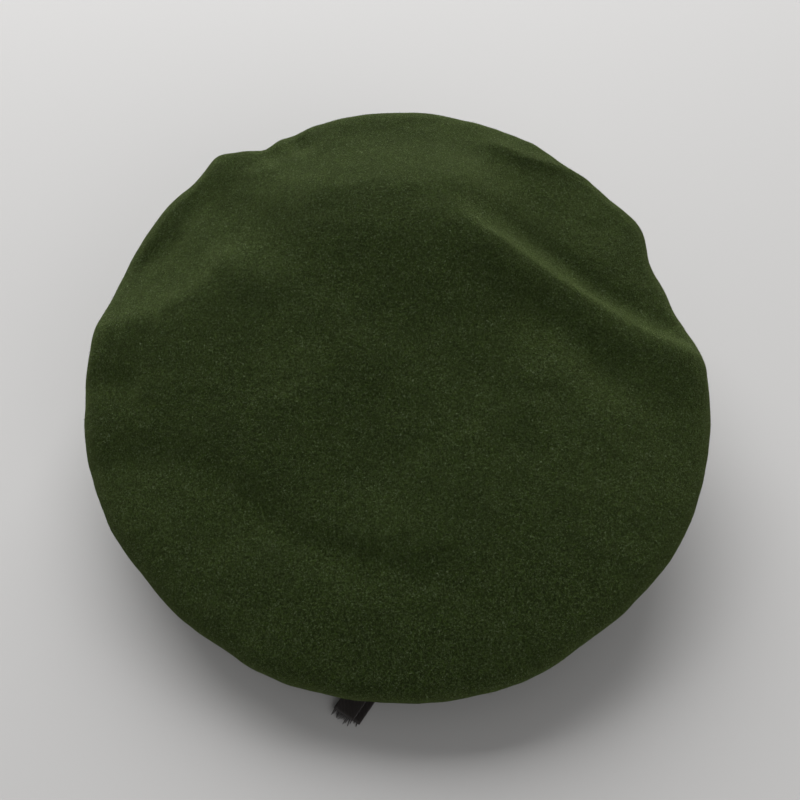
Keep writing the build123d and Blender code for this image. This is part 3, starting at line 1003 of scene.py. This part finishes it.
knot_centre = KNOT_START + HEADING * (KNOT_DEPTH / 2) + Vector((0, 0, RIBBON_HEIGHT))
core = band_loop("ribbon_knot_wrap", knot_centre, tilt=0.22, size=(3.5, 2.1), width=7.4)
cross = band_loop("ribbon_knot_cross", knot_centre, tilt=1.2, size=(3.9, 1.7), width=6.2)
inner = band_loop("ribbon_knot_fill", knot_centre, tilt=0.0, size=(2.4, 1.0), width=9.6, thick=1.5)
dress(core, RIBBON, "drawstring", "ribbon", "ribbon_knot")
dress(cross, RIBBON, "drawstring", "ribbon")
dress(inner, RIBBON, "drawstring", "ribbon")


def ribbon_lead(name, side):
    """The ribbon between one end of its ring and the knot, curving from the one to the other."""
    steps = 25
    lead_out, lead_in, lead_spread, knot_inset = 4.5, 2.2, 0.5, 0.6
    narrowing, ripple, ripple_turn, half_thickness = 0.38, 0.35, 9, 0.4
    angle = WINDOW_ANGLE + side * RIBBON_GAP
    outward = Vector((cos(WINDOW_ANGLE), sin(WINDOW_ANGLE), 0))
    start = Vector((cos(angle), sin(angle), 0)) * RIBBON_RADIUS
    along = Vector((sin(angle), -cos(angle), 0)) * side
    end = knot_centre - HEADING * knot_inset
    end.z = 0
    bend = (start + along * lead_out, end - outward * lead_in - along * lead_spread)
    vertices = []
    for step in range(steps):
        t = step / (steps - 1)
        place = (start * (1 - t) ** 3 + bend[0] * 3 * t * (1 - t) ** 2 + bend[1] * 3 * t * t * (1 - t)
                 + end * t**3)
        way = ((bend[0] - start) * (1 - t) ** 2 + (bend[1] - bend[0]) * 2 * t * (1 - t)
               + (end - bend[1]) * t * t)
        across = way.normalized().cross(Vector((0, 0, 1)))
        half = RIBBON_WIDTH / 2 * (1 - narrowing * smoothstep(np.array(t), 0.2, 1.0))
        for face_side, heights in ((1, (-1, -0.5, 0, 0.5, 1)), (-1, (1, 0.5, 0, -0.5, -1))):
            for height in heights:
                gather = ripple * sin(ripple_turn * height) * t
                vertices.append((place + across * (face_side * half_thickness + gather)
                                 + Vector((0, 0, RIBBON_HEIGHT + half * height))) * MM)
    piece = new_object(name, vertices, grid_faces(steps, 10, True))
    piece.data.materials.append(RIBBON)
    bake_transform(piece)


for name, side in (("ribbon_lead_left", -1), ("ribbon_lead_right", 1)):
    ribbon_lead(name, side)

# ---------------------------------------------------------------- the CAD pieces that stay as they are
for node, material, slot_name in (
    ("eyelet_front", ENAMEL, "eyelet"),
    ("eyelet_rear", ENAMEL, "eyelet"),
    ("eyelet_washer_front", ENAMEL, "eyelet"),
    ("eyelet_washer_rear", ENAMEL, "eyelet"),
):
    kept = next(o for o in scene.objects if o.get("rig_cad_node") == node)
    kept.data.materials.clear()
    kept.data.materials.append(material)

# ---------------------------------------------------------------- floor and light
floor = new_object("floor", [(-3, -3, 0), (3, -3, 0), (3, 3, 0), (-3, 3, 0)], [(0, 1, 2, 3)], smooth=False)
floor_material, *_, floor_shader = new_material("pale_floor")
floor_shader.inputs["Base Color"].default_value = (0.50, 0.495, 0.49, 1)
floor_shader.inputs["Roughness"].default_value = 0.8
floor.data.materials.append(floor_material)

world = bpy.data.worlds.new("studio")
world.use_nodes = True
world.node_tree.nodes["Background"].inputs["Color"].default_value = (0.90, 0.89, 0.89, 1)
world.node_tree.nodes["Background"].inputs["Strength"].default_value = 0.25
scene.world = world


def area_light(name, place, target, power, size):
    """A square light of a size in metres and a power in watts, turned to a target."""
    light = bpy.data.lights.new(name, "AREA")
    light.energy = power
    light.size = size
    holder = bpy.data.objects.new(name, light)
    holder.location = place
    holder.rotation_euler = (Vector(target) - Vector(place)).to_track_quat("-Z", "Y").to_euler()
    scene.collection.objects.link(holder)


LIT_PLACE = (0, 0, 0.05)
area_light("key", (-0.35, 2.05, 1.1), LIT_PLACE, power=148, size=3.0)
area_light("fill", (0.9, -1.7, 0.9), LIT_PLACE, power=14, size=1.6)
